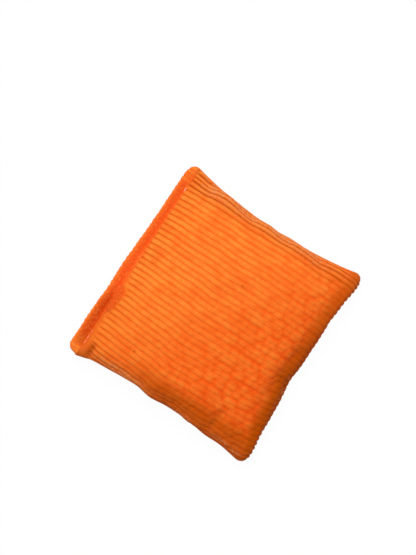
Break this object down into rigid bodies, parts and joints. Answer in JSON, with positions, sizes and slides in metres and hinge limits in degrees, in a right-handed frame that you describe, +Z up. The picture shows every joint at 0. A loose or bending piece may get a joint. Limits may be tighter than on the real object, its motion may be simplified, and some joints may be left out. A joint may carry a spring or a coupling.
{
  "type": "toss bean bag",
  "caption": "Nearly square corduroy toss bag, filled with pellets, seamed on three sides and closed by a top-stitched hem along the fourth.",
  "frame": {"origin": "on the surface the bag rests on, under the middle of its bounding box", "axes": "+Z up through the flat bag, the wales of the corduroy along X with the closing seam at -X, +Y across the wales"},
  "size_m": [0.1078, 0.1122, 0.03],
  "materials": {
    "corduroy": "wide-wale cotton corduroy, soft brushed pile",
    "thread": "matt spun sewing thread",
    "pellets": "smooth moulded pellets"
  },
  "bodies": {
    "root": {"front_panel": "corduroy", "back_panel": "corduroy", "side_seam_needle_thread": "thread", "side_seam_bobbin_thread": "thread", "closing_seam_needle_thread": "thread", "closing_seam_bobbin_thread": "thread", "pellet_fill": "pellets"}
  },
  "joints": []
}
